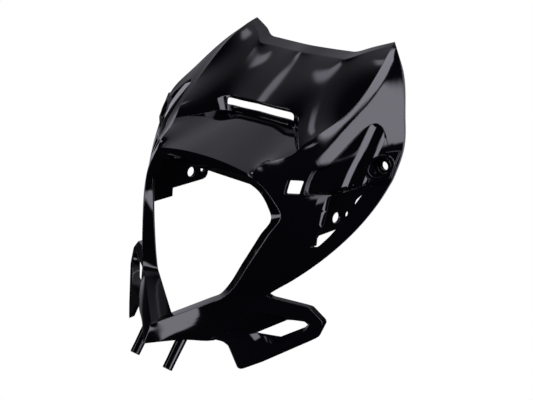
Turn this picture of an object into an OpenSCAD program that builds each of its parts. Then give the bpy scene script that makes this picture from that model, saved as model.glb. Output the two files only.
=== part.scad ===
// Headlight cowl for a motorbike: one moulded shell around a V shaped headlight opening.
// X is across the bike, Y runs backward along the side screws and the mould's draw, Z is up.
// The origin is midway between the seats of the two side screws.

/* [Screws] */
// Distance between the two side screws
screw_span = 306; // [300:1:312]
// Diameter of the screw holes
hole_d = 8.5; // [5:0.5:10]
// Diameter of the recess around each screw head
recess_d = 16.5; // [14:0.5:18]
// Diameter of the boss around each recess
boss_d = 22; // [20:0.5:24]
// Thickness of the seat under each screw head
seat_t = 3; // [2:0.5:5]

/* [Shell] */
// Wall thickness of the moulding
wall = 2.6; // [2:0.1:3.2]
// Depth of the return flange along the rear edge
return_d = 5; // [3:0.5:8]

/* [Headlight opening] */
// Half width of the opening's rim at its widest point
rim_half = 96.5; // [93:0.5:100]
// Height of the widest point of the rim
rim_wide_z = -43; // [-47:1:-39]
// Half width of the rim at the two low corners
rim_low_half = 62; // [58:0.5:66]
// Height of the two low corners of the rim
rim_low_z = -124; // [-128:1:-120]
// Height of the lowest point of the rim
rim_bottom_z = -158.5; // [-161:0.5:-156]
// Width of the bezel at the sides of the opening
bezel_w = 11; // [8:0.5:14]
// Depth of the bezel at the bottom of the opening
bezel_low_d = 26.5; // [20:0.5:30]

/* [Visor and slot] */
// Distance of the visor's front edge ahead of the screws
visor_reach = 88.5; // [85:0.5:92]
// Height of the visor's front face at its middle
visor_face_h = 9; // [6:0.5:11]
// Half width of the step between visor and number panel
slot_half = 55; // [51:0.5:58]
// Height of the step between visor and number panel
step_h = 15.5; // [13:0.5:18]
// Half width of the air slit in the step
slit_half = 48; // [40:0.5:49]
// Height of the air slit in the step
slit_h = 7.5; // [5:0.5:8]

/* [Upper edge] */
// Half width between the two horn tips
horn_half = 96; // [92:0.5:100]
// Distance of the horn tips behind the screws
horn_back = 81; // [77:0.5:85]
// Height of the horn tips
horn_z = 98; // [94:0.5:102]
// Depth of the rolled band along the upper edge
band_d = 15; // [11:0.5:18]

/* [Sides] */
// Distance of the rear corners outside the side screws
rear_margin = 11.5; // [10:0.5:15]
// Height of the rear corners
rear_z = 14; // [12:0.5:17]
// Depth of the step below the scoop
shelf_d = 4; // [2:0.5:5]
// Backward bend of the cheek beside the cut-out
cheek_bend = 3.5; // [2:0.5:4.5]
// Depth of the scoop at its inner end
scoop_d = 6; // [4:0.5:8]
// Depth of the two folds in the scoop's floor
fold_d = 5; // [3:0.5:6]
// Width and height of the square window
window_s = 12; // [9:0.5:14]

/* [Tabs] */
// Thickness of the inner tabs
tab_t = 2.6; // [2:0.1:4]
// How far outside the opening's side the middle of each inner tab stands
tab_out = 8.5; // [6:0.5:11.5]
// Diameter of the large hole in each tab
tab_hole_d = 11; // [8:0.5:12]
// Diameter of the small hole in each tab
tab_small_d = 6; // [4:0.5:7]

/* [Wings] */
// Half width at the wing tips
wing_half = 143; // [139:0.5:147]
// Depth of the wing frames
wing_d = 5; // [4:0.5:8]
// Depth of the tapered pocket in each wing
pocket_d = 7; // [5.5:0.5:9]

/* [Pegs] */
// Diameter of the two locating pegs
peg_d = 10; // [8:0.5:11]
// Distance between the two pegs
peg_span = 49; // [44:0.5:54]
// Length of the pegs below the chin
peg_l = 26; // [18:0.5:32]

/* [Hidden] */
eps = 0.01;
reach = 400;

// Widths that follow from the sizes above
rear_half = screw_span / 2 + rear_margin;
tab_half = rim_half + tab_out;
function side_x(x) = mix(rim_half, screw_span / 2, (x - 96.5) / 56.5);
function on_side(outline) = [for (q = outline) [side_x(q[0]), q[1]]];

// Corners of the headlight opening's rim
visor_mid = [0, -visor_reach, -12];
visor_corner = [68, -visor_reach - 2, -10.5];
rim_wide = [rim_half, -81, rim_wide_z];
rim_low = [rim_low_half, -119.5, rim_low_z];
rim_bottom = [0, -162, rim_bottom_z];

// Corners of the lip, the rear edge of the bezel
lip_mid = [0, -visor_reach + 5, -19.5];
lip_corner = [58, -visor_reach + 5.5, -20.5];
lip_wide = [rim_half - bezel_w, -82.5, rim_wide_z - 4];
lip_low = [rim_low_half - bezel_w - 2, -111, rim_low_z - 2];
lip_bottom = [0, -162 + bezel_low_d, rim_bottom_z + 4];

// Corners of the ridges, the rear edge and the chin
slot_end = [horn_half - 9, -48.5, 12];
ridge_mid = [horn_half + 10, 2, 42];
horn = [horn_half, horn_back, horn_z];
horn_crease = [horn_half + 2, horn_back - 5.5, horn_z - 2.5];
rear_corner = [rear_half, 12, rear_z];
shelf_end = [rear_half, -2, rear_z - 25];
arm_handle = [rear_half - 8.5, -42, -70];
arm_end = [rim_low_half + 31, -90, rim_low_z + 4.5];
chin_side = [rim_low_half - 2, -128, rim_bottom_z - 7.5];
nose = [0, -174, rim_bottom_z - 16];

// Corners of the step in the top and of the upper edge
slot_mid = [0, -14, 37.5];
slot_corner = [slot_half, -15, 32.5];
edge_mid = [0, horn_back - 17.5, horn_z - 14.5];
edge_bend = [56, horn_back - 14.5, horn_z - 13.5];

function unit(v) = v / norm(v);
function mix(a, b, t) = a + (b - a) * t;
function bowed(a, b, t, bow) = mix(a, b, t) + bow * 4 * t * (1 - t);
function bezier(a, b, c, t) = mix(mix(a, b, t), mix(b, c, t), t);
function mirrored(p) = [-p[0], p[1], p[2]];

// Curve through points, straight on either side of a sharp point
function chord(p, i) = norm(p[i + 1] - p[i]);
function slope(p, i) = (p[i + 1] - p[i]) / chord(p, i);
function smooth(p, sharp, i) = i > 0 && i < len(p) - 1 && !sharp[i];
function pace(p, i) =
    (slope(p, i - 1) * chord(p, i) + slope(p, i) * chord(p, i - 1)) / (chord(p, i - 1) + chord(p, i));
function leave(p, sharp, i) =
    smooth(p, sharp, i) ? pace(p, i)
    : smooth(p, sharp, i + 1) ? 1.5 * slope(p, i) - 0.5 * pace(p, i + 1)
    : slope(p, i);
function arrive(p, sharp, i) =
    smooth(p, sharp, i + 1) ? pace(p, i + 1)
    : smooth(p, sharp, i) ? 1.5 * slope(p, i) - 0.5 * pace(p, i)
    : slope(p, i);
function span_point(p, sharp, i, t) =
    let (l = chord(p, i))
    p[i] * (1 + 2 * t) * (1 - t) * (1 - t)
    + p[i + 1] * t * t * (3 - 2 * t)
    + leave(p, sharp, i) * l * t * (1 - t) * (1 - t)
    - arrive(p, sharp, i) * l * t * t * (1 - t);
function through(p, sharp, steps) = [
    for (i = [0 : len(p) - 2], k = [0 : steps[i] - 1]) span_point(p, sharp, i, k / steps[i]),
    p[len(p) - 1]
];

// Stations run from the top middle to the bottom middle. Each lists its points outward:
// lip, rim, crease beside the rim, low slot edge, high slot edge, middle, crease of the
// upper band, outer edge and end of the return flange.
function top_rim(t) = mix(visor_mid, visor_corner, t);
function top_station(t, slot, high, crease, edge) =
    let (
        rim = top_rim(t),
        low = slot - [0.05 * slot[0], 0.5, step_h * (1 - high)],
        dish = [0, 0, -2 * sin(180 * t)]
    ) [
        mix(lip_mid, lip_corner, t),
        rim,
        rim + [0, 0.2, mix(visor_face_h, 2, t * t)],
        low,
        slot,
        mix(slot, crease, 0.5) + dish,
        crease,
        edge,
        edge + [0, 2, -return_d]
    ];
function edge_point(t) = bowed(edge_mid, edge_bend, t, [0, 2, -0.8]);
function crease_point(t) = edge_point(t) - [0, mix(band_d, band_d + 1.5, t), 5];

function side_station(rim, lip, edge, d, back = [-0.5, 1, -0.2], bend = 0) = [
    lip,
    rim,
    mix(rim, edge, 0.03) + [0, -0.6, 0],
    mix(rim, edge, d[0]) + [0, d[4], 0],
    mix(rim, edge, d[1]) + [0, d[4] + bend, 0],
    mix(rim, edge, d[2]) + [0, d[4], 0],
    mix(rim, edge, d[3]) + [0, d[4] / 2, 0],
    edge,
    edge + back * return_d
];
function upper_rim(t) = bowed(visor_corner, rim_wide, t, [0.6, 1.6, 3]);
function upper_lip(t) = bowed(lip_corner, lip_wide, t, [2, 1, 4]);
function upper_edge(t) = bowed(horn, rear_corner, t, [0, 7, 10]);
function lower_rim(t) = bowed(rim_wide, rim_low, t, [1.5, -1.5, 0]);
function lower_lip(t) = bowed(lip_wide, lip_low, t, [1, -1, 0]);
function arm_edge(t) = bezier(shelf_end, arm_handle, arm_end, t);

half_ring = [
    top_station(0, slot_mid, 0, crease_point(0), edge_point(0)),
    top_station(0.36, slot_mid + [0.45 * slot_half, 0.8, -0.6], 0, crease_point(0.45), edge_point(0.45)),
    top_station(0.68, slot_mid + [0.86 * slot_half, 2, -2.3], 0, crease_point(0.9), edge_point(0.9)),
    top_station(0.76, slot_corner, 0.15, crease_point(1.02), edge_point(1.02)),
    top_station(0.88, mix(slot_corner, slot_end, 0.45), 0.5,
        mix(crease_point(1), horn_crease, 0.42), bowed(edge_bend, horn, 0.45, [0, 1, 0])),
    [
        lip_corner,
        visor_corner,
        visor_corner + [-0.3, 0.7, 2.2],
        slot_end - [0.5, 0.8, 1],
        slot_end + [0.5, 1.2, 0.8],
        ridge_mid,
        horn_crease,
        horn,
        horn + [-1, 2, -return_d]
    ],
    side_station(upper_rim(0.27), upper_lip(0.3), upper_edge(0.38), [0.25, 0.31, 0.58, 0.95, -1]),
    side_station(upper_rim(0.48), upper_lip(0.5), upper_edge(0.75), [0.25, 0.36, 0.6, 0.93, -1]),
    side_station(upper_rim(0.6), upper_lip(0.64), rear_corner, [0.25, 0.4, 0.62, 0.92, 0]),
    side_station(upper_rim(0.7), upper_lip(0.76), shelf_end, [0.25, 0.42, 0.65, 0.92, 0]),
    side_station(upper_rim(0.74), upper_lip(0.8), arm_edge(0.02), [0.36, 0.46, 0.65, 0.92, shelf_d],
        bend = cheek_bend),
    side_station(rim_wide, lip_wide, arm_edge(0.17), [0.33, 0.43, 0.65, 0.9, 0.3 * shelf_d],
        bend = cheek_bend),
    side_station(lower_rim(0.22), lower_lip(0.22), arm_edge(0.36), [0.42, 0.56, 0.72, 0.9, 0],
        bend = cheek_bend),
    side_station(lower_rim(0.6), lower_lip(0.6), arm_edge(0.66), [0.25, 0.45, 0.65, 0.9, 0]),
    side_station(lower_rim(0.93), lower_lip(0.92), arm_edge(0.88), [0.25, 0.45, 0.65, 0.9, 0]),
    side_station(mix(rim_low, rim_bottom, 0.07), mix(lip_low, lip_bottom, 0.06),
        arm_end, [0.25, 0.45, 0.65, 0.9, 0]),
    side_station(mix(rim_low, rim_bottom, 0.22), mix(lip_low, lip_bottom, 0.2),
        mix(arm_end, chin_side, 0.5), [0.25, 0.45, 0.65, 0.9, 0], [0, 1, 0]),
    side_station(mix(rim_low, rim_bottom, 0.42), mix(lip_low, lip_bottom, 0.4),
        chin_side, [0.25, 0.45, 0.65, 0.9, 0], [0, 1, 0]),
    side_station(mix(rim_low, rim_bottom, 0.72), mix(lip_low, lip_bottom, 0.7),
        bowed(nose, chin_side, 0.5, [0, 2, 0.3]), [0.3, 0.5, 0.65, 0.8, -3], [0, 1, 0.2]),
    side_station(rim_bottom, lip_bottom, nose + [0, 1.5, -1.5], [0.3, 0.6, 0.8, 0.95, 0], [0, 1.6, 0])
];
half_sharp = [for (i = [0 : len(half_ring) - 1]) i == 5 || i == 9 || i == 10];
half_steps = [2, 2, 1, 2, 2, 2, 2, 2, 2, 1, 2, 3, 3, 2, 1, 2, 2, 2, 2];

last = len(half_ring) - 1;
ring = [
    for (i = [last : -1 : 1]) [for (p = half_ring[i]) mirrored(p)],
    for (i = [0 : last]) half_ring[i]
];
ring_sharp = [for (i = [last : -1 : 1]) half_sharp[i], for (i = [0 : last]) half_sharp[i]];
ring_steps = [for (i = [last - 1 : -1 : 0]) half_steps[i], for (i = [0 : last - 1]) half_steps[i]];

top_sharp = [true, true, true, true, true, false, true, true, true];
side_sharp = [true, true, false, false, false, false, false, true, true];
cheek_sharp = [true, true, false, true, true, false, false, true, true];
out_steps = [2, 1, 3, 1, 4, 4, 1, 1];

function is_cheek(i) = abs(i - last) > 9 && abs(i - last) < 13;
function station_sharp(i) = abs(i - last) < 5 ? top_sharp : is_cheek(i) ? cheek_sharp : side_sharp;
station_lines = [for (i = [0 : len(ring) - 1]) through(ring[i], station_sharp(i), out_steps)];
outer_full = [
    for (j = [0 : len(station_lines[0]) - 1])
        through([for (s = station_lines) s[j]], ring_sharp, ring_steps)
];
rows = len(outer_full);
around = len(outer_full[0]) - 1;

function at(grid, j, k) = grid[min(max(j, 0), rows - 1)][(k + around) % around];
face_n = [
    for (j = [0 : rows - 1]) [
        for (k = [0 : around - 1])
            unit(cross(
                at(outer_full, j, k + 1) - at(outer_full, j, k - 1),
                at(outer_full, j + 1, k) - at(outer_full, j - 1, k)
            ))
    ]
];
skin_n = [
    for (j = [0 : rows - 1]) [
        for (k = [0 : around - 1])
            unit(
                2 * at(face_n, j, k) + at(face_n, j - 1, k) + at(face_n, j + 1, k)
                + at(face_n, j, k - 1) + at(face_n, j, k + 1)
            )
    ]
];

module skin() {
    outer = [for (j = [0 : rows - 1], k = [0 : around - 1]) outer_full[j][k]];
    inner = [for (j = [0 : rows - 1], k = [0 : around - 1]) outer_full[j][k] - wall * skin_n[j][k]];
    n = rows * around;
    function id(j, k) = j * around + (k % around);
    function halves(a, b, c, d) =
        norm(outer[a] - outer[c]) < norm(outer[b] - outer[d])
        ? [[a, b, c], [a, c, d]]
        : [[a, b, d], [b, c, d]];
    front = [
        for (j = [0 : rows - 2], k = [0 : around - 1])
            for (f = halves(id(j, k), id(j + 1, k), id(j + 1, k + 1), id(j, k + 1))) f
    ];
    polyhedron(concat(outer, inner), concat(
        front,
        [for (f = front) [n + f[0], n + f[2], n + f[1]]],
        [for (k = [0 : around - 1]) [id(0, k), id(0, k + 1), n + id(0, k + 1)]],
        [for (k = [0 : around - 1]) [id(0, k), n + id(0, k + 1), n + id(0, k)]],
        [for (k = [0 : around - 1]) [id(rows - 1, k), n + id(rows - 1, k + 1), id(rows - 1, k + 1)]],
        [for (k = [0 : around - 1]) [id(rows - 1, k), n + id(rows - 1, k), n + id(rows - 1, k + 1)]]
    ));
}

// Outline in X and Z, drawn through the part along the mould's draw from y0 to y1
module along_y(y0, y1) {
    translate([0, y1, 0]) rotate([90, 0, 0]) linear_extrude(y1 - y0) children();
}

// Half space slab of thickness t behind the plane through p with outward normal n
module slab(p, n, t) {
    translate(p)
        rotate([0, acos(n[2]), atan2(n[1], n[0])])
            translate([-reach, -reach, -t]) cube([2 * reach, 2 * reach, t]);
}

module both_sides() {
    children();
    mirror([1, 0, 0]) children();
}

// Polygon drawn inward by d along its bisectors, points in clockwise order
function edge_normal(p, i) =
    let (a = p[i % len(p)], b = p[(i + 1) % len(p)], v = unit(b - a)) [v[1], -v[0]];
function inset(p, d) = [
    for (i = [0 : len(p) - 1])
        let (n = edge_normal(p, i + len(p) - 1), m = edge_normal(p, i)) p[i] + d * (n + m) / (1 + n * m)
];

// Air slit through the step
slit_low = slot_mid[2] - wall - slit_h;
slit_outline = [
    [-slit_half, slit_low - 1.8],
    [-slit_half, slit_low + slit_h - 3.5],
    [-slit_half + 3, slit_low + slit_h - 1.6],
    [0, slit_low + slit_h],
    [slit_half - 3, slit_low + slit_h - 1.6],
    [slit_half, slit_low + slit_h - 3.5],
    [slit_half, slit_low - 1.8],
    [0, slit_low]
];
module air_slit() {
    along_y(-25, 4) polygon(slit_outline);
}

// Place of the skin in Y over a point in X and Z, looked up on the side stations' triangles
side_cell = 40;
side_row = 3;
side_k0 = around / 2 + 10;
side_k1 = around / 2 + 28;
function area2(a, b, c) = (b[0] - a[0]) * (c[2] - a[2]) - (b[2] - a[2]) * (c[0] - a[0]);
function over(a, b, c, q) =
    let (w = area2(a, b, c), u = area2(q, b, c) / w, v = area2(a, q, c) / w)
    u >= -eps && v >= -eps && u + v <= 1 + eps ? [u * a[1] + v * b[1] + (1 - u - v) * c[1]] : [];
function skin_y(x, z) =
    let (found = [
        for (j = [side_row : rows - 2], k = [side_k0 : side_k1])
            let (
                a = outer_full[j][k],
                b = outer_full[j + 1][k],
                c = outer_full[j + 1][k + 1],
                d = outer_full[j][k + 1],
                q = [x, 0, z]
            )
            if (abs(a[0] - x) < side_cell && abs(a[2] - z) < side_cell)
                for (y = concat(over(a, b, c, q), over(a, c, d, q))) y
    ]) found[0];

// Square window ahead of the scoop
window_mid = [side_x(98.5), -18.5];
module window() {
    along_y(-110, -20) translate(window_mid) polygon([
        [-window_s / 2 - 0.5, window_s / 2],
        [window_s / 2 - 1, window_s / 2 - 0.5],
        [window_s / 2, -window_s / 2],
        [-window_s / 2 + 1.5, -window_s / 2 + 0.5]
    ]);
}

// Large cut-out behind the cheek, between the scoop and the rear arm
cutout_outline = on_side([
    [121.8, -27.5],
    [134, -23],
    [151, -15.5],
    [147, -22],
    [144.5, -31],
    [142, -40],
    [137.5, -51],
    [132, -62],
    [126, -71],
    [123, -73.2],
    [119.5, -72.5],
    [122.3, -63.5],
    [123.5, -54.5],
    [123.6, -40.5]
]);
module cutout() {
    along_y(-120, 60) polygon(cutout_outline);
}

// Scoop sunk into the side, with two upright folds in its floor
scoop_outline = on_side([
    [107.5, -24.5],
    [106, -15],
    [105.5, -6.5],
    [107, -3.5],
    [115, 0],
    [118, 10],
    [120.5, 20.5],
    [123, 28.5],
    [126.5, 33],
    [130.5, 34.5],
    [137, 32],
    [144, 26],
    [150.5, 18.5],
    [152.5, 12],
    [150, -2],
    [149, -14.5],
    [134, -22.5],
    [123, -26]
]);
fold_levels = [38, 30, 16, 7, -4, -18, -32];
fold_shift = [-6, -4, -1, 0, 0, -0.5, -1];
sheet_left = [113, 107, 103, 103, 103, 103, 103];
sheet_right = [142, 151, 155, 155, 155, 155, 155];
fold_lines = [
    [sheet_left[6], scoop_d],
    [131.5, 0.8],
    [134, 0.8 + fold_d],
    [144.5, 1.2],
    [146.5, 1.2 + fold_d / 2],
    [155, 2]
];
function fold_x(i, l) =
    side_x(i == 0 ? sheet_left[l] : min(sheet_right[l] - 5 + i, fold_lines[i][0] + fold_shift[l]));
function fold_point(i, l, back) =
    let (x = fold_x(i, l), z = fold_levels[l])
    [x, skin_y(x, z) + fold_lines[i][1] + back, z];
module floor_sheet() {
    n = len(fold_lines);
    m = len(fold_levels);
    function id(i, l, s) = (s * m + l) * n + i;
    polyhedron(
        [for (s = [0, 1], l = [0 : m - 1], i = [0 : n - 1]) fold_point(i, l, s * 1.5 * wall)],
        concat(
            [for (l = [0 : m - 2], i = [0 : n - 2]) [id(i, l, 0), id(i + 1, l, 0), id(i + 1, l + 1, 0)]],
            [for (l = [0 : m - 2], i = [0 : n - 2]) [id(i, l, 0), id(i + 1, l + 1, 0), id(i, l + 1, 0)]],
            [for (l = [0 : m - 2], i = [0 : n - 2]) [id(i, l, 1), id(i + 1, l + 1, 1), id(i + 1, l, 1)]],
            [for (l = [0 : m - 2], i = [0 : n - 2]) [id(i, l, 1), id(i, l + 1, 1), id(i + 1, l + 1, 1)]],
            [for (i = [0 : n - 2]) [id(i, 0, 0), id(i, 0, 1), id(i + 1, 0, 1), id(i + 1, 0, 0)]],
            [for (i = [0 : n - 2])
                [id(i, m - 1, 0), id(i + 1, m - 1, 0), id(i + 1, m - 1, 1), id(i, m - 1, 1)]],
            [for (l = [0 : m - 2]) [id(0, l, 0), id(0, l + 1, 0), id(0, l + 1, 1), id(0, l, 1)]],
            [for (l = [0 : m - 2])
                [id(n - 1, l, 0), id(n - 1, l, 1), id(n - 1, l + 1, 1), id(n - 1, l + 1, 0)]]
        )
    );
}
module scoop_wall() {
    out = inset(scoop_outline, -wall);
    n = len(out);
    function ring_point(i, s) =
        let (
            q = s < 2 ? scoop_outline[i] : out[i],
            y = skin_y(scoop_outline[i][0], scoop_outline[i][1])
        )
        [q[0], y + (s == 0 || s == 3 ? 0.4 * wall : scoop_d + 1.5 * wall), q[1]];
    polyhedron(
        [for (i = [0 : n - 1], s = [0 : 3]) ring_point(i, s)],
        [for (i = [0 : n - 1], s = [0 : 3], h = [0, 1])
            let (
                a = 4 * i + s,
                b = 4 * i + (s + 1) % 4,
                c = 4 * ((i + 1) % n) + (s + 1) % 4,
                d = 4 * ((i + 1) % n) + s
            ) h == 0 ? [a, c, b] : [a, d, c]]
    );
}
module scoop_hole() {
    along_y(-110, 80) polygon(scoop_outline);
}
module scoop_pan() {
    intersection() {
        floor_sheet();
        along_y(-110, 80) polygon(inset(scoop_outline, -wall / 2));
    }
    scoop_wall();
}

// Pad and boss for each side screw, with the recess for its head and the hole
pad_n = unit([0.64, -1, 0.6]);
pad_mid = [screw_span / 2, skin_y(screw_span / 2, 0) + 0.1, 0];
pad_outline = [
    [side_x(147), 9],
    [side_x(153), 13],
    [rear_half - 1, rear_z + 1],
    [rear_half - 1, rear_z - 24],
    [side_x(149), -14.5],
    [side_x(146.5), -4]
];
module screw_pad() {
    intersection() {
        along_y(-60, 40) polygon(pad_outline);
        slab(pad_mid, pad_n, wall);
    }
    intersection() {
        translate([screw_span / 2, seat_t, 0]) rotate([90, 0, 0]) cylinder(h = 30, d = boss_d, $fn = 48);
        slab(pad_mid - [0, 0.3, 0], pad_n, 40);
    }
}
module screw_recess() {
    translate([screw_span / 2, 0, 0]) rotate([90, 0, 0]) cylinder(h = 40, d = recess_d, $fn = 48);
    translate([screw_span / 2, seat_t + 2, 0]) rotate([90, 0, 0]) cylinder(h = 20, d = hole_d, $fn = 32);
}

// Inner tab on each side, with its two cross holes
tab_back = 12;
tab_low_z = -72;
tab_hole = [-13, -60];
tab_small = [3.5, -60.5];
function tab_front(z) = [skin_y(tab_half + tab_t / 2, z) + 0.6, z];
function pan_back(z) = [skin_y(tab_half + tab_t / 2, z) + scoop_d + 0.7 * wall, z];
module tab_plate(outline) {
    translate([tab_half - tab_t / 2, 0, 0])
        rotate([90, 0, 90]) linear_extrude(tab_t) polygon(outline);
}
module tab() {
    difference() {
        union() {
            tab_plate([
                for (z = [-32 : -5.5 : -68]) tab_front(z),
                [-45, tab_low_z],
                [4, tab_low_z],
                [10, tab_low_z + 3],
                [tab_back, tab_low_z + 9],
                [tab_back + 3, -50.5],
                [22, -46.5],
                [32, -38],
                [32, -15],
                pan_back(-15),
                pan_back(-24)
            ]);
            tab_plate([
                for (z = [-69 : -4.5 : -83]) tab_front(z),
                [-41, -81],
                [-40, -72],
                [-42, -69]
            ]);
        }
        for (h = [[tab_hole, tab_hole_d], [tab_small, tab_small_d]])
            translate([tab_half - tab_t, h[0][0], h[0][1]])
                rotate([0, 90, 0]) cylinder(h = 2 * tab_t, d = h[1], $fn = 32);
    }
}

// Wing frame on each side of the chin, with a tapered pocket through it. Outlines are in X and Z
wing_root = [rim_low_half - 7, -129.8, -161];
wing_tip = [wing_half, -65.2, -140.5];
wing_n = unit(cross(wing_tip - wing_root, [0, 0.346, 0.938]));
function wing_x(x) = 60 + (x - 60) * (wing_half - 60) / 83;
function on_wing(outline) = [for (q = outline) [wing_x(q[0]), q[1]]];
wing_outline = on_wing([
    [84, -119],
    [93, -124],
    [120.5, -129],
    [126, -130.2],
    [138.6, -141.2],
    [139.8, -143.6],
    [137, -156.8],
    [134.5, -159.5],
    [99.7, -183.1],
    [86, -190.8],
    [83.5, -191.5],
    [81, -190.5],
    [69, -171],
    [64, -167.8],
    [54, -166],
    [60, -150]
]);
pocket_front = on_wing([
    [rim_low_half - 3, -159.6],
    [81.6, -138.5],
    [123.5, -140.7],
    [129.5, -145.7],
    [127.2, -151.9],
    [105.6, -166],
    [68.1, -162.9]
]);
pocket_rear = on_wing([
    [85.5, -159.4],
    [107, -145.8],
    [120.8, -146.1],
    [124, -148.5],
    [122.5, -150.8],
    [105, -161.4],
    [88, -159.9]
]);
function wing_point(q, depth) =
    let (p = wing_tip - depth * wing_n)
    [q[0], p[1] - (wing_n[0] * (q[0] - p[0]) + wing_n[2] * (q[1] - p[2])) / wing_n[1], q[1]];
module pocket(grow, above, depth) {
    front = inset(pocket_front, -grow);
    rear = inset(pocket_rear, -grow);
    n = len(front);
    function lofted(i, t) = mix(wing_point(front[i], 0), wing_point(rear[i], pocket_d), t / pocket_d);
    polyhedron(
        [for (t = [-above, depth], i = [0 : n - 1]) lofted(i, t)],
        concat(
            [[for (i = [0 : n - 1]) i]],
            [[for (i = [n - 1 : -1 : 0]) n + i]],
            [for (i = [0 : n - 1]) [i, n + i, n + (i + 1) % n]],
            [for (i = [0 : n - 1]) [i, n + (i + 1) % n, (i + 1) % n]]
        )
    );
}
module wing() {
    difference() {
        union() {
            difference() {
                intersection() {
                    along_y(-160, -20) polygon(wing_outline);
                    slab(wing_tip, wing_n, wing_d);
                }
                intersection() {
                    along_y(-160, -20) polygon(inset(wing_outline, wall));
                    slab(wing_tip - wall * wing_n, wing_n, 3 * wing_d);
                }
            }
            pocket(wall, -0.5, pocket_d);
        }
        pocket(0, 1, pocket_d + 2);
    }
}

// Two pegs that point down and forward out of the chin
peg_tilt = 37.6;
peg_dir = [0, -sin(peg_tilt), -cos(peg_tilt)];
peg_foot = [peg_span / 2, -148, rim_bottom_z - 18.5];
peg_end = 10;
peg_outline = [
    [0, -14],
    [peg_d / 2 + 0.5, -14],
    [peg_d / 2, peg_l - peg_end - 0.6],
    [peg_d / 2, peg_l - 0.6],
    [peg_d / 2 - 0.6, peg_l],
    [0, peg_l]
];
module peg() {
    translate(peg_foot) rotate([180 - peg_tilt, 0, 0]) rotate_extrude($fn = 32) polygon(peg_outline);
}

module cowl() {
    color([0.03, 0.03, 0.035]) difference() {
        union() {
            difference() {
                skin();
                air_slit();
                both_sides() {
                    window();
                    scoop_hole();
                }
            }
            both_sides() {
                scoop_pan();
                screw_pad();
                wing();
                peg();
            }
        }
        both_sides() {
            cutout();
            screw_recess();
        }
    }
    color([0.03, 0.03, 0.035]) both_sides() tab();
}

cowl();
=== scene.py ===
"""Looks of the headlight cowl: one gloss black moulding, in metres, in the CAD's frame."""
import math

import bmesh
import bpy
import numpy as np
from mathutils import Matrix, Vector
from mathutils.bvhtree import BVHTree


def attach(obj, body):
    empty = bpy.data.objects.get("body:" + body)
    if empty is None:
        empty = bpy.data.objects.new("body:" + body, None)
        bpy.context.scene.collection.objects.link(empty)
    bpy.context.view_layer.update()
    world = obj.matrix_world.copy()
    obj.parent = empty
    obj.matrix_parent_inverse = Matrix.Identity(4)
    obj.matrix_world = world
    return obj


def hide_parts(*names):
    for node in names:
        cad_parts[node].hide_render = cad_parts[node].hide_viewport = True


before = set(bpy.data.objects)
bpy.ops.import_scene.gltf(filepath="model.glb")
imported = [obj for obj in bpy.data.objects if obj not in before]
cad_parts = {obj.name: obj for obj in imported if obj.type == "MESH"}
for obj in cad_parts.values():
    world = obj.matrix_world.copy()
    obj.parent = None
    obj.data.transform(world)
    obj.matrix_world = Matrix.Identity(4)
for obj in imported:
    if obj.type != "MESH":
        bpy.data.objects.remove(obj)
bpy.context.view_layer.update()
MM = 0.001


# Points and curves
def vec(*v):
    return np.array(v, float)


def unit(v):
    return np.asarray(v, float) / np.linalg.norm(v)


def mix(a, b, t):
    return a + (b - a) * t


def bowed(a, b, t, bow):
    """Point at t on an arc from a to b, whose middle stands off the straight line by bow."""
    return mix(a, b, t) + vec(*bow) * 4 * t * (1 - t)


def bezier(a, b, c, t):
    return mix(mix(a, b, t), mix(b, c, t), t)


# Sizes, in millimetres
screw_span, hole_d, recess_d, boss_d, seat_t = 306, 8.5, 16.5, 22, 3
wall, return_d = 2.6, 5
visor_reach, visor_face_h, slot_half, step_h = 88.5, 9, 55, 15.5
slit_half, slit_h, band_d = 48, 7.5, 15
scoop_d, fold_d, window_s = 6, 5, 12
tab_t, tab_half, tab_hole_d, tab_small_d = 2.6, 105, 11, 6
wing_half, wing_d, pocket_d = 143, 5, 7
peg_d, peg_span, peg_l, peg_end, peg_tilt = 10, 49, 26, 10, math.radians(37.6)
shelf_d, cheek_bend, rear_half = 4, 3.5, 164.5

visor_mid = vec(0, -visor_reach, -12)
visor_corner = vec(68, -visor_reach - 2, -10.5)
rim_wide = vec(96.5, -81, -43)
rim_low = vec(62, -119.5, -124)
rim_bottom = vec(0, -162, -158.5)
lip_mid = vec(0, -83.5, -19.5)
lip_corner = vec(58, -83, -20.5)
lip_wide = vec(85.5, -82.5, -47)
lip_low = vec(49, -111, -126)
lip_bottom = vec(0, -135.5, -154.5)
slot_end = vec(87, -48.5, 12)
ridge_mid = vec(106, 2, 42)
horn = vec(96, 81, 98)
horn_crease = vec(98, 75.5, 95.5)
rear_corner = vec(164.5, 12, 14)
shelf_end = vec(164.5, -2, -11)
arm_handle = vec(156, -42, -70)
arm_end = vec(93, -90, -119.5)
chin_side = vec(60, -128, -166)
nose = vec(0, -174, -174.5)
slot_mid = vec(0, -14, 37.5)
slot_corner = vec(55, -15, 32.5)
edge_mid = vec(0, 63.5, 83.5)
edge_bend = vec(56, 66.5, 84.5)
pad_n = unit([0.64, -1, 0.6])


# Control net of the shell, by station round the headlight opening and by row from its lip outward
def top_station(t, slot, high, crease, edge):
    """Rows over the opening, at t on the visor's front from its middle to its corner."""
    rim = mix(visor_mid, visor_corner, t)
    return [
        mix(lip_mid, lip_corner, t),
        rim,
        rim + vec(0, 0.2, mix(visor_face_h, 2, t * t)),
        slot - vec(0.05 * slot[0], 0.5, step_h * (1 - high)),
        slot,
        mix(slot, crease, 0.5) + vec(0, 0, 0.6 * math.sin(math.pi * t)),
        crease,
        edge,
        edge + vec(0, 2, -return_d),
    ]


def edge_point(t):
    return bowed(edge_mid, edge_bend, t, (0, 2, -0.8))


def crease_point(t):
    return edge_point(t) - vec(0, mix(band_d, band_d + 1.5, t), 5)


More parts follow.
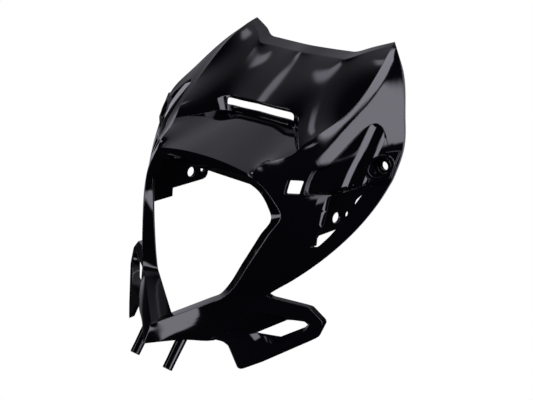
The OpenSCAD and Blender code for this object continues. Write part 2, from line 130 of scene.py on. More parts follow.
def side_station(rim, lip, edge, d, back=(-0.5, 1, -0.2), bend=0):
    """Rows beside the opening: d holds four places between rim and edge, and a depth."""
    return [
        lip,
        rim,
        mix(rim, edge, 0.03) + vec(0, -0.6, 0),
        mix(rim, edge, d[0]) + vec(0, d[4], 0),
        mix(rim, edge, d[1]) + vec(0, d[4] + bend, 0),
        mix(rim, edge, d[2]) + vec(0, d[4], 0),
        mix(rim, edge, d[3]) + vec(0, d[4] / 2, 0),
        edge,
        edge + vec(*back) * return_d,
    ]


def upper_rim(t):
    return bowed(visor_corner, rim_wide, t, (0.6, 1.6, 3))


def upper_lip(t):
    return bowed(lip_corner, lip_wide, t, (2, 1, 4))


def upper_edge(t):
    return bowed(horn, rear_corner, t, (0, 7, 10))


def lower_rim(t):
    return bowed(rim_wide, rim_low, t, (1.5, -1.5, 0))


def lower_lip(t):
    return bowed(lip_wide, lip_low, t, (1, -1, 0))


def arm_edge(t):
    return bezier(shelf_end, arm_handle, arm_end, t)


half_net = [
    top_station(0, slot_mid, 0, crease_point(0), edge_point(0)),
    top_station(0.36, slot_mid + vec(0.45 * slot_half, 0.8, -0.6), 0, crease_point(0.45), edge_point(0.45)),
    top_station(0.68, slot_mid + vec(0.86 * slot_half, 2, -2.3), 0, crease_point(0.9), edge_point(0.9)),
    top_station(0.76, slot_corner, 0.15, crease_point(1.02), edge_point(1.02)),
    top_station(0.88, mix(slot_corner, slot_end, 0.45), 0.5,
                mix(crease_point(1), horn_crease, 0.42), bowed(edge_bend, horn, 0.45, (0, 1, 0))),
    [lip_corner, visor_corner, visor_corner + vec(-0.3, 0.7, 2.2), slot_end - vec(0.5, 0.8, 1),
     slot_end + vec(0.5, 1.2, 0.8), ridge_mid, horn_crease, horn, horn + vec(-1, 2, -return_d)],
    side_station(upper_rim(0.27), upper_lip(0.3), upper_edge(0.38), [0.25, 0.31, 0.58, 0.95, -1]),
    side_station(upper_rim(0.48), upper_lip(0.5), upper_edge(0.75), [0.25, 0.36, 0.6, 0.93, -1]),
    side_station(upper_rim(0.6), upper_lip(0.64), rear_corner, [0.25, 0.4, 0.62, 0.92, 0]),
    side_station(upper_rim(0.7), upper_lip(0.76), shelf_end, [0.25, 0.42, 0.65, 0.92, 0]),
    side_station(upper_rim(0.74), upper_lip(0.8), arm_edge(0.02), [0.36, 0.46, 0.65, 0.92, shelf_d],
                 bend=cheek_bend),
    side_station(rim_wide, lip_wide, arm_edge(0.17), [0.33, 0.43, 0.65, 0.9, 0.3 * shelf_d],
                 bend=cheek_bend),
    side_station(lower_rim(0.22), lower_lip(0.22), arm_edge(0.36), [0.42, 0.56, 0.72, 0.9, 0],
                 bend=cheek_bend),
    side_station(lower_rim(0.6), lower_lip(0.6), arm_edge(0.66), [0.25, 0.45, 0.65, 0.9, 0]),
    side_station(lower_rim(0.93), lower_lip(0.92), arm_edge(0.88), [0.25, 0.45, 0.65, 0.9, 0]),
    side_station(mix(rim_low, rim_bottom, 0.07), mix(lip_low, lip_bottom, 0.06),
                 arm_end, [0.25, 0.45, 0.65, 0.9, 0]),
    side_station(mix(rim_low, rim_bottom, 0.22), mix(lip_low, lip_bottom, 0.2),
                 mix(arm_end, chin_side, 0.5), [0.25, 0.45, 0.65, 0.9, 0], (0, 1, 0)),
    side_station(mix(rim_low, rim_bottom, 0.42), mix(lip_low, lip_bottom, 0.4),
                 chin_side, [0.25, 0.45, 0.65, 0.9, 0], (0, 1, 0)),
    side_station(mix(rim_low, rim_bottom, 0.72), mix(lip_low, lip_bottom, 0.7),
                 bowed(nose, chin_side, 0.5, (0, 2, 0.3)), [0.3, 0.5, 0.65, 0.8, -3], (0, 1, 0.2)),
    side_station(rim_bottom, lip_bottom, nose + vec(0, 1.5, -1.5), [0.3, 0.6, 0.8, 0.95, 0], (0, 1.6, 0)),
]
CREASE_STATIONS = (5, 9, 10)
TOP_SHARP = [True, True, True, True, True, False, True, True, True]
SIDE_SHARP = [True, True, False, False, False, False, False, True, True]
CHEEK_SHARP = [True, True, False, True, True, False, False, True, True]

half_net = np.array(half_net)
mirrored = half_net[:0:-1] * vec(-1, 1, 1)
net = np.concatenate([mirrored, half_net[:-1]])
LAST = len(half_net) - 1
half_sharp = [i in CREASE_STATIONS for i in range(len(half_net))]
ring_sharp = half_sharp[:0:-1] + half_sharp[:-1]
ring_sharp[0] = True


def sharp_rows(off):
    """Which rows are creases, at a station that lies off stations from the top's middle."""
    if off < 4.99:
        return TOP_SHARP
    return CHEEK_SHARP if 9.99 < off < 12.01 else SIDE_SHARP


station_sharp = [sharp_rows(abs(i - LAST)) for i in range(len(net))]


def spline(p, sharp, closed):
    """Chord lengths of a curve through p and its points, straight on either side of a sharp point."""
    n = len(p)
    count = n if closed else n - 1
    at = lambda i: p[i % n]
    chord = [max(np.linalg.norm(at(i + 1) - at(i)), 1e-9) for i in range(count)]
    way = [(at(i + 1) - at(i)) / chord[i] for i in range(count)]
    smooth = lambda i: (closed or 0 < i < n - 1) and not sharp[i % n]

    def pace(i):
        a, b = (i - 1) % count, i % count
        return (way[a] * chord[b] + way[b] * chord[a]) / (chord[a] + chord[b])

    def leave(i):
        if smooth(i):
            return pace(i)
        return 1.5 * way[i] - 0.5 * pace(i + 1) if smooth(i + 1) else way[i]

    def arrive(i):
        if smooth(i + 1):
            return pace(i + 1)
        return 1.5 * way[i] - 0.5 * pace(i) if smooth(i) else way[i]

    ends = [(leave(i), arrive(i)) for i in range(count)]

    def point(i, t):
        i %= count
        return (at(i) * (1 + 2 * t) * (1 - t) ** 2 + at(i + 1) * t * t * (3 - 2 * t)
                + ends[i][0] * chord[i] * t * (1 - t) ** 2 - ends[i][1] * chord[i] * t * t * (1 - t))

    return chord, point


def through(p, sharp, closed, spans):
    """Samples the curve through p, with as many steps between two points as spans says."""
    chord, point = spline(p, sharp, closed)
    out = [point(i, k / spans[i]) for i in range(len(chord)) for k in range(spans[i])]
    return np.array(out if closed else out + [p[-1]])


ARC = 3            # points inside each rounded crease


def curve(p, sharp, closed, radius, spans):
    """Samples the curve, and rounds a sharp point by its radius. A radius of 0 takes no extra points."""
    chord, point = spline(p, sharp, closed)
    n, count = len(p), len(chord)
    out = []
    for i in range(count):
        r0, r1 = radius[i % n], radius[(i + 1) % n]
        a, b = min(0.3, r0 / chord[i]), 1 - min(0.3, r1 / chord[i])
        if r0 and (closed or i > 0):
            before = 1 - min(0.3, r0 / chord[i - 1])
            p0, p1, p2 = point(i - 1, before), p[i], point(i, a)
            for k in range(1, ARC + 1):
                t = k / (ARC + 1)
                if sharp[i % n]:
                    out.append(p0 * (1 - t) ** 2 + 2 * p1 * t * (1 - t) + p2 * t * t)
                else:
                    u = 2 * t - 1
                    out.append(point(i - 1, 1 + (1 - before) * u) if u < 0 else point(i, a * u))
        out += [point(i, mix(a, b, k / spans[i])) for k in range(spans[i])]
        if r1 or (not closed and i == count - 1):
            out.append(point(i, b))
    return np.array(out)


# A denser net, evened out between the creases, and then the grid of the surface with rounded creases
OUT_DENSE = [1, 1, 5, 1, 6, 6, 1, 1]
HALF_DENSE = [4, 3, 2, 3, 4, 4, 4, 4, 3, 1, 3, 4, 4, 3, 2, 3, 3, 3, 4]
RING_DENSE = HALF_DENSE[::-1] + HALF_DENSE
ROW_AT = np.cumsum([0] + OUT_DENSE)
STATION_AT = np.cumsum([0] + RING_DENSE)[:-1]
ROW_R = {1: 0.6, 3: 0.35, 4: 0.45, 6: 1.2, 7: 0.6}
STATION_R = {5: 0.4, 9: 0.5, 10: 0.5, 19: 1.0}
dense_rows, dense_around = ROW_AT[-1] + 1, sum(RING_DENSE)
station_of = np.interp(np.arange(dense_around), np.append(STATION_AT, dense_around),
                       np.arange(len(net) + 1))
off_top = abs(station_of - LAST)
row_sharp = np.zeros((dense_around, dense_rows), bool)
for column, off in enumerate(off_top):
    row_sharp[column, ROW_AT] = sharp_rows(off)
column_sharp = [bool(abs(off - round(off)) < 1e-6 and round(off) in STATION_R) for off in off_top]
radius_out = [ROW_R.get(list(ROW_AT).index(j), 0) if j in ROW_AT else 0 for j in range(dense_rows)]
radius_ring = [STATION_R.get(round(off), 0) if sharp else 0 for off, sharp in zip(off_top, column_sharp)]
spans_out = [4, 2] + [2] * 5 + [3] + [2] * 12 + [3, 2]
spans_ring = [2] * dense_around


def dense(ctrl):
    lines = np.array([through(ctrl[i], station_sharp[i], False, OUT_DENSE) for i in range(len(ctrl))])
    return np.array([through(lines[:, j], ring_sharp, True, RING_DENSE) for j in range(lines.shape[1])])


def fair(g, wave):
    """Evens out bumps shorter than about wave between the creases, which stay in place."""
    m, n = g.shape[:2]
    vid = lambda j, k: j * n + k % n
    p = g.reshape(-1, 3)
    up = np.linalg.norm(np.diff(g, axis=0), axis=2)
    side = np.linalg.norm(np.roll(g, -1, 1) - g, axis=2)
    tall = np.array([np.mean([up[i] for i in (j - 1, j) if 0 <= i < m - 1], axis=0) for j in range(m)])
    wide = (side + np.roll(side, 1, 1)) / 2
    w = np.zeros((m * n, m * n))
    for j in range(m):
        for k in range(n):
            pairs = [(vid(j, k), vid(j, k + 1), (tall[j, k] + tall[j, (k + 1) % n]) / 2 / side[j, k])]
            if j < m - 1:
                pairs.append((vid(j, k), vid(j + 1, k), (wide[j, k] + wide[j + 1, k]) / 2 / up[j, k]))
            for a, b, q in pairs:
                w[a, b] += q
                w[b, a] += q
                w[a, a] -= q
                w[b, b] -= q
    area = (tall * wide).reshape(-1)
    fixed = row_sharp.T.copy()
    fixed[0] = fixed[-1] = True
    fixed[:, column_sharp] = True
    fixed = fixed.reshape(-1)
    free = np.flatnonzero(~fixed)
    part = w[free] / np.sqrt(area[free])[:, None]
    hold = (2 * math.pi / wave) ** 4 * area[free]
    inner_part = part[:, free]
    left = inner_part.T @ inner_part
    left[np.diag_indices(len(free))] += hold
    rest = part[:, np.flatnonzero(fixed)] @ p[fixed]
    right_side = hold[:, None] * p[free] - inner_part.T @ rest
    q = p.copy()
    q[free] = np.linalg.solve(left, right_side)
    return q.reshape(g.shape)


def refined(g, extra=0.0):
    """Grid of the surface, with creases rounded by their radii, each larger by extra."""
    out_radii = [r + extra * (r > 0) for r in radius_out]
    ring_radii = [r + extra * (r > 0) for r in radius_ring]
    lines = np.array([curve(g[:, k], row_sharp[k], False, out_radii, spans_out) for k in range(g.shape[1])])
    return np.array([curve(lines[:, j], column_sharp, True, ring_radii, spans_ring)
                     for j in range(lines.shape[1])])


def grid_normals(g, passes):
    """Outward directions of a grid that is closed round, evened out in a few passes."""
    along = np.roll(g, -1, 1) - np.roll(g, 1, 1)
    out = np.empty_like(g)
    out[1:-1] = g[2:] - g[:-2]
    out[0], out[-1] = g[1] - g[0], g[-1] - g[-2]
    n = np.cross(along, out)
    n /= np.linalg.norm(n, axis=2, keepdims=True) + 1e-12
    for _ in range(passes):
        m = 2 * n + np.roll(n, 1, 1) + np.roll(n, -1, 1)
        m[1:] += n[:-1]
        m[:-1] += n[1:]
        n = m / np.linalg.norm(m, axis=2, keepdims=True)
    return n


BUMP_LENGTH = 50
outer_net = fair(dense(net), BUMP_LENGTH)
outer = refined(outer_net)
rows, around = outer.shape[:2]
inner = refined(outer_net - wall * grid_normals(outer_net, 2), 1.0)


# Meshes
def new_object(name, verts, faces):
    mesh = bpy.data.meshes.new(name)
    mesh.from_pydata([tuple(v) for v in np.asarray(verts) * MM], [], [tuple(f) for f in faces])
    mesh.validate()
    mesh.update()
    o = bpy.data.objects.new(name, mesh)
    bpy.context.scene.collection.objects.link(o)
    return o


def shell():
    """Closed solid between the outer and the inner grid."""
    n = rows * around
    vid = lambda j, k: j * around + (k % around)
    faces = []
    for j in range(rows - 1):
        for k in range(around):
            q = (vid(j, k), vid(j, k + 1), vid(j + 1, k + 1), vid(j + 1, k))
            faces.append(q)
            faces.append(tuple(n + i for i in q[::-1]))
    for k in range(around):
        faces.append((vid(0, k + 1), vid(0, k), n + vid(0, k), n + vid(0, k + 1)))
        e = rows - 1
        faces.append((vid(e, k), vid(e, k + 1), n + vid(e, k + 1), n + vid(e, k)))
    return new_object("shell", np.concatenate([outer.reshape(-1, 3), inner.reshape(-1, 3)]), faces)


def prism_y(name, outline, y0, y1):
    """Outline in X and Z, drawn along Y."""
    p = np.asarray(outline, float)
    area = sum(p[i - 1][0] * p[i][1] - p[i][0] * p[i - 1][1] for i in range(len(p)))
    if area < 0:
        p = p[::-1]
    n = len(p)
    verts = [(x, y0, z) for x, z in p] + [(x, y1, z) for x, z in p]
    faces = [tuple(range(n)), tuple(range(2 * n - 1, n - 1, -1))]
    faces += [(i, n + i, n + (i + 1) % n, (i + 1) % n) for i in range(n)]
    return new_object(name, verts, faces)


def cylinder(name, r, p0, p1, segments=48):
    """Cylinder from p0 to p1, for a level axis."""
    p0, p1 = vec(*p0), vec(*p1)
    d = unit(p1 - p0)
    u = unit(np.cross(d, vec(0, 0, 1)))
    v = np.cross(d, u)
    turns = np.linspace(0, 2 * math.pi, segments, endpoint=False)
    ring = [math.cos(a) * u + math.sin(a) * v for a in turns]
    verts = [p0 + r * q for q in ring] + [p1 + r * q for q in ring]
    n = segments
    faces = [tuple(range(n - 1, -1, -1)), tuple(range(n, 2 * n))]
    faces += [(i, (i + 1) % n, n + (i + 1) % n, n + i) for i in range(n)]
    return new_object(name, verts, faces)


def combine(target, tool, operation):
    """Applies the tool to the target, and removes the tool."""
    m = target.modifiers.new("b", "BOOLEAN")
    m.operation, m.object, m.solver = operation, tool, "MANIFOLD"
    graph = bpy.context.evaluated_depsgraph_get()
    mesh = bpy.data.meshes.new_from_object(target.evaluated_get(graph))
    target.modifiers.clear()
    target.data = mesh
    bpy.data.objects.remove(tool)
    return target


# Places on the skin
def skin_tree():
    verts = [Vector(p) for p in outer.reshape(-1, 3)]
    vid = lambda j, k: j * around + (k % around)
    quads = [(vid(j, k), vid(j, k + 1), vid(j + 1, k + 1), vid(j + 1, k))
             for j in range(rows - 1) for k in range(around)]
    return BVHTree.FromPolygons(verts, quads)


tree_of_skin = skin_tree()


def skin_y(x, z):
    """Place of the skin in Y, over a point in X and Z on the right hand half."""
    hit = tree_of_skin.ray_cast(Vector((x, -400, z)), Vector((0, 1, 0)))
    return hit[0].y


def inset(p, d):
    """Polygon in clockwise order, drawn inward by d along its bisectors."""
    p = [np.asarray(q, float) for q in p]
    n = len(p)

    def normal(i):
        v = unit(p[(i + 1) % n] - p[i % n])
        return np.array([v[1], -v[0]])

    return [p[i] + d * (normal(i - 1) + normal(i)) / (1 + normal(i - 1) @ normal(i)) for i in range(n)]


def rounded(p, r, steps=4):
    """Polygon with its corners rounded by about r."""
    p = [np.asarray(q, float) for q in p]
    out = []
    n = len(p)
    for i in range(n):
        a, b, c = p[i - 1], p[i], p[(i + 1) % n]
        la, lc = np.linalg.norm(a - b), np.linalg.norm(c - b)
        q0, q1 = b + (a - b) * min(0.45, r / la), b + (c - b) * min(0.45, r / lc)
        for k in range(steps + 1):
            t = k / steps
            out.append(q0 * (1 - t) ** 2 + 2 * b * t * (1 - t) + q1 * t * t)
    return out


def grid_solid(name, front, back):
    """Solid between two grids of points of the same size."""
    front, back = np.asarray(front), np.asarray(back)
    m, n = front.shape[:2]
    vid = lambda i, j, s: s * m * n + i * n + j
    faces = []
    for i in range(m - 1):
        for j in range(n - 1):
            faces.append((vid(i, j, 0), vid(i, j + 1, 0), vid(i + 1, j + 1, 0), vid(i + 1, j, 0)))
            faces.append((vid(i, j, 1), vid(i + 1, j, 1), vid(i + 1, j + 1, 1), vid(i, j + 1, 1)))
    for i in range(m - 1):
        faces.append((vid(i, 0, 0), vid(i + 1, 0, 0), vid(i + 1, 0, 1), vid(i, 0, 1)))
        faces.append((vid(i, n - 1, 0), vid(i, n - 1, 1), vid(i + 1, n - 1, 1), vid(i + 1, n - 1, 0)))
    for j in range(n - 1):
        faces.append((vid(0, j, 0), vid(0, j, 1), vid(0, j + 1, 1), vid(0, j + 1, 0)))
        faces.append((vid(m - 1, j, 0), vid(m - 1, j + 1, 0), vid(m - 1, j + 1, 1), vid(m - 1, j, 1)))
    return new_object(name, np.concatenate([front.reshape(-1, 3), back.reshape(-1, 3)]), faces)


def outward(o):
    """Turns a closed mesh's faces outward."""
    bm = bmesh.new()
    bm.from_mesh(o.data)
    bmesh.ops.recalc_face_normals(bm, faces=bm.faces)
    bm.to_mesh(o.data)
    bm.free()
    return o


def mirror_copy(o):
    """Twin of a piece on the other side of the plane X = 0."""
    twin = bpy.data.objects.new(o.name + "_twin", o.data.copy())
    bpy.context.scene.collection.objects.link(twin)
    twin.data.transform(Matrix.Diagonal((-1, 1, 1, 1)))
    twin.data.flip_normals()
    return twin


def both(target, maker, operation):
    """Applies the piece that maker makes, and its mirror image, to the target."""
    tool = outward(maker())
    twin = mirror_copy(tool)
    combine(target, tool, operation)
    combine(target, twin, operation)


# Outlines of the air slit, windows and cut-outs, in X and Z
slit_low = slot_mid[2] - wall - slit_h
slit_high = slit_low + slit_h
slit_outline = [
    (-slit_half, slit_low - 1.8), (-slit_half, slit_high - 3.5), (-slit_half + 3, slit_high - 1.6),
    (0, slit_high), (slit_half - 3, slit_high - 1.6), (slit_half, slit_high - 3.5),
    (slit_half, slit_low - 1.8), (0, slit_low),
]
window_mid = np.array([98.5, -18.5])
window_outline = [window_mid + q for q in (
    (-window_s / 2 - 0.5, window_s / 2), (window_s / 2 - 1, window_s / 2 - 0.5),
    (window_s / 2, -window_s / 2), (-window_s / 2 + 1.5, -window_s / 2 + 0.5))]
cutout_outline = [
    (121.8, -27.5), (134, -23), (151, -15.5), (147, -22), (144.5, -31), (142, -40), (137.5, -51),
    (132, -62), (126, -71), (123, -73.2), (119.5, -72.5), (122.3, -63.5), (123.5, -54.5), (123.6, -40.5),
]
scoop_outline = [
    (107.5, -24.5), (106, -15), (105.5, -6.5), (107, -3.5), (115, 0), (118, 10), (120.5, 20.5), (123, 28.5),
    (126.5, 33), (130.5, 34.5), (137, 32), (144, 26), (150.5, 18.5), (152.5, 12), (150, -2), (149, -14.5),
    (134, -22.5), (123, -26),
]

# Scoop in each side, with its two folds
fold_levels = [38, 30, 16, 7, -4, -18, -32]
fold_shift = [-6, -4, -1, 0, 0, -0.5, -1]
sheet_left = [113, 107, 103, 103, 103, 103, 103]
sheet_right = [142, 151, 155, 155, 155, 155, 155]
fold_lines = [
    (103, scoop_d), (131.5, 0.8), (134, 0.8 + fold_d), (144.5, 1.2), (146.5, 1.2 + fold_d / 2), (155, 2),
]


def floor_row(z):
    """Points in X and depth across the scoop's floor at one height."""
    down = [-v for v in fold_levels]
    shift = np.interp(-z, down, fold_shift)
    left = np.interp(-z, down, sheet_left)
    end = np.interp(-z, down, sheet_right)
    knots = [np.array([left, fold_lines[0][1]])]
    for i in range(1, 6):
        knots.append(np.array([min(end - 5 + i, fold_lines[i][0] + shift), fold_lines[i][1]]))
    out = [knots[0]]
    for i in range(1, 6):
        a, b = knots[i - 1], knots[i]
        start = 0.0 if i == 1 else min(0.3, 0.9 / max(np.linalg.norm(b - a), 1e-6))
        stop = 1.0 if i == 5 else 1 - min(0.3, 0.9 / max(np.linalg.norm(b - a), 1e-6))
        count = 8 if i in (1, 3) else 3
        if i > 1:
            p0, p2 = out[-1], mix(a, b, start)
            for t in (0.33, 0.67):
                out.append(p0 * (1 - t) ** 2 + 2 * a * t * (1 - t) + p2 * t * t)
        for k in range(count + 1):
            if i == 1 and k == 0:
                continue
            out.append(mix(a, b, mix(start, stop, k / count)))
    return out


def scoop_floor():
    """Folded sheet that closes the scoop behind its opening."""
    front, back = [], []
    for z in np.linspace(36, -31, 34):
        row = floor_row(z)
        front.append([(x, skin_y(x, z) + d, z) for x, d in row])
        back.append([(x, skin_y(x, z) + d + 1.5 * wall, z) for x, d in row])
    floor = outward(grid_solid("floor", front, back))
    trim = prism_y("trim", inset(scoop_outline, -wall / 2), -110, 80)
    return combine(floor, trim, "INTERSECT")


def scoop_wall():
    """Tube round the scoop's opening, from just under the skin to behind the floor."""
    fine = rounded(scoop_outline, 2, 3)
    out = inset(fine, -wall)
    front, behind = 0.3 * wall, scoop_d + 1.5 * wall
    rings = [
        [(q[0], skin_y(*q) + front, q[1]) for q in fine],
        [(q[0], skin_y(*q) + behind, q[1]) for q in fine],
        [(o[0], skin_y(*q) + behind, o[1]) for q, o in zip(fine, out)],
        [(o[0], skin_y(*o) + front, o[1]) for o in out],
    ]
    n = len(fine)
    verts = [p for row in rings for p in row]
    faces = [(s * n + i, s * n + (i + 1) % n, ((s + 1) % 4) * n + (i + 1) % n, ((s + 1) % 4) * n + i)
             for s in range(4) for i in range(n)]
    return new_object("scoop_wall", verts, faces)


# Pad, boss and recess of each side screw
pad_mid = vec(screw_span / 2, skin_y(screw_span / 2, 0) + 0.1, 0)
pad_outline = [(147, 9), (153, 13), (rear_half - 1, 15), (rear_half - 1, -10), (149, -14.5), (146.5, -4)]


def slab(name, p, n, t):
    """Box whose front face lies on the plane through p with outward normal n."""
    n = unit(n)
    u = unit(np.cross(n, vec(0, 0, 1)))
    v = np.cross(n, u)
    corners = [p + 300 * (a * u + b * v) for a, b in ((-1, -1), (1, -1), (1, 1), (-1, 1))]
    verts = corners + [c - t * n for c in corners]
    faces = [(0, 1, 2, 3), (7, 6, 5, 4)] + [(i, 4 + i, 4 + (i + 1) % 4, (i + 1) % 4) for i in range(4)]
    return outward(new_object(name, verts, faces))


def pad():
    """Tilted plate round the side screw."""
    plate = prism_y("pad", rounded(pad_outline, 2), -60, 40)
    return combine(plate, slab("s", pad_mid, pad_n, wall), "INTERSECT")


def boss():
    c = cylinder("boss", boss_d / 2, (screw_span / 2, seat_t, 0), (screw_span / 2, seat_t - 30, 0), 72)
    return combine(outward(c), slab("s", pad_mid - vec(0, 0.3, 0), pad_n, 40), "INTERSECT")


def recess():
    return cylinder("recess", recess_d / 2, (screw_span / 2, 0, 0), (screw_span / 2, -40, 0), 72)


def screw_hole():
    return cylinder("hole", hole_d / 2, (screw_span / 2, 10, 0), (screw_span / 2, -20, 0))


# Inner tab on each side, with its two cross holes
def plate_x(name, outline, x0, x1):
    """Outline in Y and Z, drawn along X."""
    p = [np.asarray(q, float) for q in outline]
    n = len(p)
    verts = [(x0, q[0], q[1]) for q in p] + [(x1, q[0], q[1]) for q in p]
    faces = [tuple(range(n)), tuple(range(2 * n - 1, n - 1, -1))]
    faces += [(i, n + i, n + (i + 1) % n, (i + 1) % n) for i in range(n)]
    return outward(new_object(name, verts, faces))


def tab_edge(z, depth):
    """Point of the tab's plate in Y and Z, depth behind the skin at height z."""
    return (skin_y(tab_half + tab_t / 2, z) + depth, z)


def tab():
    x0, x1 = tab_half - tab_t / 2, tab_half + tab_t / 2
    behind = scoop_d + 0.7 * wall
    big = [tab_edge(z, 0.6) for z in np.arange(-32, -69, -3)] + [
        (-45, -72), (4, -72), (8, -70.8), (10.4, -68), (12, -63), (15, -50.5), (16.5, -48.6),
        (22, -46.5), (29, -44), (46, -42.5), (46, -15), tab_edge(-15, behind), tab_edge(-24, behind)]
    small = [tab_edge(z, 0.6) for z in np.arange(-69, -84, -3)] + [(-41, -81), (-40, -72), (-42, -69)]
    o = plate_x("tab", big, x0, x1)
    combine(o, plate_x("tab_low", small, x0, x1), "UNION")
    for y, z, d in ((-13, -60, tab_hole_d), (3.5, -60.5, tab_small_d)):
        combine(o, outward(cylinder("h", d / 2, (x0 - 5, y, z), (x1 + 5, y, z))), "DIFFERENCE")
    return o


# Wing frame on each side of the chin
wing_tip = vec(wing_half, -65.2, -140.5)
wing_n = unit(np.cross(wing_tip - vec(55, -129.8, -161), (0, 0.346, 0.938)))
wing_outline = [
    (84, -119), (93, -124), (120.5, -129), (126, -130.2), (138.6, -141.2), (139.8, -143.6),
    (137, -156.8), (134.5, -159.5), (99.7, -183.1), (86, -190.8), (83.5, -191.5), (81, -190.5),
    (69, -171), (64, -167.8), (54, -166), (60, -150),
]
pocket_front = [
    (59, -159.6), (81.6, -138.5), (123.5, -140.7), (129.5, -145.7), (127.2, -151.9), (105.6, -166),
    (68.1, -162.9),
]
pocket_rear = [
    (85.5, -159.4), (107, -145.8), (120.8, -146.1), (124, -148.5), (122.5, -150.8), (105, -161.4),
    (88, -159.9),
]


def on_wing(q, depth):
    """Point of the wing's front plane, moved back by depth, over a point in X and Z."""
    p0 = wing_tip - depth * wing_n
    y = p0[1] - (wing_n[0] * (q[0] - p0[0]) + wing_n[2] * (q[1] - p0[2])) / wing_n[1]
    return vec(q[0], y, q[1])


def loft(name, a, b):
    n = len(a)
    faces = [tuple(range(n)), tuple(range(2 * n - 1, n - 1, -1))]
    faces += [(i, n + i, n + (i + 1) % n, (i + 1) % n) for i in range(n)]
    return outward(new_object(name, list(a) + list(b), faces))


def pocket(grow, above, depth):
    """Tapering block of the wing's pocket, grown by grow, from above the front plane to depth."""
    front = inset(pocket_front, -grow)
    rear = inset(pocket_rear, -grow)
    a = [on_wing(q, 0) for q in front]
    b = [on_wing(q, pocket_d) for q in rear]
    top = [p + (p - r) * above / pocket_d for p, r in zip(a, b)]
    low = [p + (r - p) * depth / pocket_d for p, r in zip(a, b)]
    return loft("pocket", top, low)


def wing():
    """Flat frame with a hollow back, and the pocket in it."""
    o = prism_y("wing", rounded(wing_outline, 1.2, 2), -160, -20)
    combine(o, slab("s", wing_tip, wing_n, wing_d), "INTERSECT")
    hollow = prism_y("hollow", inset(wing_outline, wall), -160, -20)
    combine(hollow, slab("s", wing_tip - wall * wing_n, wing_n, 3 * wing_d), "INTERSECT")
    combine(o, hollow, "DIFFERENCE")
    combine(o, pocket(wall, -0.5, pocket_d), "UNION")
    combine(o, pocket(0, 1, pocket_d + 2), "DIFFERENCE")
    return o


def peg():
    """Locating peg under the chin, with a rounded end."""
    d = vec(0, -math.sin(peg_tilt), -math.cos(peg_tilt))
    foot = vec(peg_span / 2, -148, -177)
    u, v = vec(1, 0, 0), np.cross(d, vec(1, 0, 0))
    r = peg_d / 2
    rings = [(-14, r + 0.5), (peg_l - peg_end - 0.6, r), (peg_l - 0.8, r), (peg_l - 0.25, r - 0.2),
             (peg_l, r - 0.8)]
    n = 48
    verts = [foot + h * d + w * (math.cos(t) * u + math.sin(t) * v)
             for h, w in rings for t in np.linspace(0, 2 * math.pi, n, endpoint=False)]
    faces = [(s * n + i, s * n + (i + 1) % n, (s + 1) * n + (i + 1) % n, (s + 1) * n + i)
             for s in range(len(rings) - 1) for i in range(n)]
    faces += [tuple(range(n - 1, -1, -1)), tuple(range((len(rings) - 1) * n, len(rings) * n))]
    return new_object("peg", verts, faces)


# The one moulding
cowl = outward(shell())
combine(cowl, prism_y("slit", rounded(slit_outline, 1.2, 2), -25, 4), "DIFFERENCE")
both(cowl, lambda: prism_y("window", rounded(window_outline, 1.2), -110, -20), "DIFFERENCE")
both(cowl, lambda: prism_y("scoop_hole", rounded(scoop_outline, 2, 3), -110, 80), "DIFFERENCE")
for maker in (scoop_floor, scoop_wall, pad, boss, wing, peg):
    both(cowl, maker, "UNION")
both(cowl, lambda: prism_y("cutout", rounded(cutout_outline, 1.2, 2), -120, 60), "DIFFERENCE")
both(cowl, recess, "DIFFERENCE")
both(cowl, screw_hole, "DIFFERENCE")
both(cowl, tab, "UNION")

# Finish: black plastic with a clear gloss, whose cut edges catch a thin line of light
BLACK = (0.001, 0.001, 0.0016, 1)
ROUGHNESS = 0.06
EDGE_RADIUS = 0.0007
CREASE_ANGLE = math.radians(38)

gloss = bpy.data.materials.new("gloss_black")
gloss.use_nodes = True
shader = gloss.node_tree.nodes["Principled BSDF"]
shader.inputs["Base Color"].default_value = BLACK
shader.inputs["Roughness"].default_value = ROUGHNESS
shader.inputs["IOR"].default_value = 1.5
edges = gloss.node_tree.nodes.new("ShaderNodeBevel")
edges.samples = 4
edges.inputs["Radius"].default_value = EDGE_RADIUS
gloss.node_tree.links.new(edges.outputs["Normal"], shader.inputs["Normal"])

cowl.name = "cowl_shell"
cowl.data.materials.clear()
cowl.data.materials.append(gloss)
for p in cowl.data.polygons:
    p.use_smooth = True
cowl.data.set_sharp_from_angle(angle=CREASE_ANGLE)
weighted = cowl.modifiers.new("weighted", "WEIGHTED_NORMAL")
weighted.mode, weighted.weight, weighted.keep_sharp = "FACE_AREA", 100, True
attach(cowl, "root")
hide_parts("cowl")

# Camera, solved from mirrored corners of the photograph
PHOTO_WIDTH = 533.0     # pixels
FOCAL_LENGTH = 1200.0   # pixels
SENSOR = 36.0           # millimetres
eye = Vector((0.827887, -0.8404833, 0.3343709))
right = Vector((0.7115888, 0.7025962, 0.0))
up = Vector((-0.2280576, 0.2309765, 0.9458539))
back = Vector((0.6645533, -0.6730591, 0.3245927))
cam_data = bpy.data.cameras.new("camera")
cam_data.sensor_fit = "HORIZONTAL"
cam_data.sensor_width = SENSOR
cam_data.lens = SENSOR * FOCAL_LENGTH / PHOTO_WIDTH
cam = bpy.data.objects.new("camera", cam_data)
bpy.context.scene.collection.objects.link(cam)
cam.matrix_world = Matrix((
    (right.x, up.x, back.x, eye.x),
    (right.y, up.y, back.y, eye.y),
    (right.z, up.z, back.z, eye.z),
    (0, 0, 0, 1),
))
bpy.context.scene.camera = cam

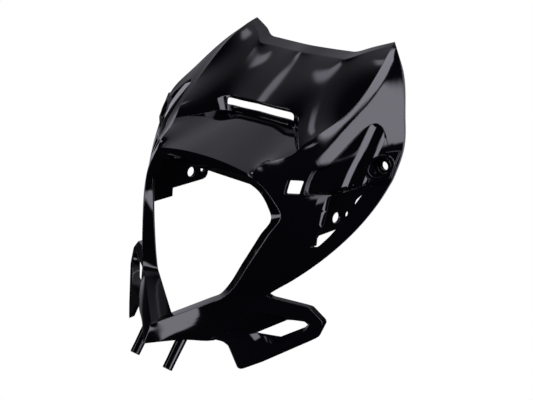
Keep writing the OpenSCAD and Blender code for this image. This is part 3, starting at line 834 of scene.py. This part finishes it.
# World and lights
# White to the camera. In reflections, a dark studio with soft boxes: azimuth (0 is ahead of the
# part, 90 at its +X side), elevation, roll, half width, half height, softness of the edge, strength.
SOFT_BOXES = [
    (103, 33, 0, 0.46, 1.1, 0.06, 5.0),
    (2, 74, 0, 0.13, 0.12, 0.03, 4.3),
    (-8, 12, -35, 0.55, 0.2, 0.03, 4.5),
    (-30, -4, 0, 0.2, 0.1, 0.03, 4.0),
    (-87, 22, 0, 0.06, 0.25, 0.03, 3.2),
    (-95.5, 47.5, 0, 0.03, 0.03, 0.015, 2.0),
    (65.5, 29, 0, 0.06, 0.07, 0.03, 3.2),
    (-150, 20, 0, 0.9, 1.2, 0.3, 0.45),
]
ROOM_STRENGTH = 0.012
ROOM_TINT = (0.89, 0.875, 1.0, 1)
world = bpy.data.worlds.new("world")
world.use_nodes = True
bpy.context.scene.world = world
tree = world.node_tree
tree.nodes.clear()


def math_node(op, a, b=None):
    n = tree.nodes.new("ShaderNodeMath")
    n.operation = op
    for i, v in enumerate((a, b)):
        if v is None:
            continue
        if isinstance(v, (int, float)):
            n.inputs[i].default_value = v
        else:
            tree.links.new(v, n.inputs[i])
    return n.outputs[0]


def dot_node(v, d):
    n = tree.nodes.new("ShaderNodeVectorMath")
    n.operation = "DOT_PRODUCT"
    tree.links.new(v, n.inputs[0])
    n.inputs[1].default_value = d
    return n.outputs["Value"]


def step_node(x, edge, soft):
    """1 where |x| is under edge, with a soft border."""
    n = tree.nodes.new("ShaderNodeMapRange")
    n.interpolation_type = "SMOOTHSTEP"
    tree.links.new(math_node("ABSOLUTE", x), n.inputs["Value"])
    n.inputs["From Min"].default_value = edge + soft
    n.inputs["From Max"].default_value = edge - soft
    return n.outputs["Result"]


def box_node(direction, az, el, roll, half_w, half_h, soft, strength):
    """Light of one soft box in a direction."""
    a, e, r = map(math.radians, (az, el, roll))
    c = Vector((math.sin(a) * math.cos(e), -math.cos(a) * math.cos(e), math.sin(e)))
    u0 = Vector((math.cos(a), math.sin(a), 0))
    v0 = Vector((-math.sin(e) * math.sin(a), math.sin(e) * math.cos(a), math.cos(e)))
    u = u0 * math.cos(r) + v0 * math.sin(r)
    v = v0 * math.cos(r) - u0 * math.sin(r)
    ahead = math_node("MAXIMUM", dot_node(direction, c), 0.001)
    x = step_node(math_node("DIVIDE", dot_node(direction, u), ahead), half_w, soft)
    y = step_node(math_node("DIVIDE", dot_node(direction, v), ahead), half_h, soft)
    return math_node("MULTIPLY", math_node("MULTIPLY", x, y), strength)


coords = tree.nodes.new("ShaderNodeTexCoord").outputs["Generated"]
total = None
for box in SOFT_BOXES:
    one = box_node(coords, *box)
    total = one if total is None else math_node("MAXIMUM", total, one)
total = math_node("ADD", total, ROOM_STRENGTH)
path = tree.nodes.new("ShaderNodeLightPath")
seen = tree.nodes.new("ShaderNodeBackground")
seen.inputs[0].default_value = (1, 1, 1, 1)
room = tree.nodes.new("ShaderNodeBackground")
room.inputs[0].default_value = ROOM_TINT
tree.links.new(total, room.inputs[1])
blend = tree.nodes.new("ShaderNodeMixShader")
out = tree.nodes.new("ShaderNodeOutputWorld")
tree.links.new(path.outputs["Is Camera Ray"], blend.inputs[0])
tree.links.new(room.outputs[0], blend.inputs[1])
tree.links.new(seen.outputs[0], blend.inputs[2])
tree.links.new(blend.outputs[0], out.inputs[0])

bpy.context.scene.view_settings.view_transform = "Standard"
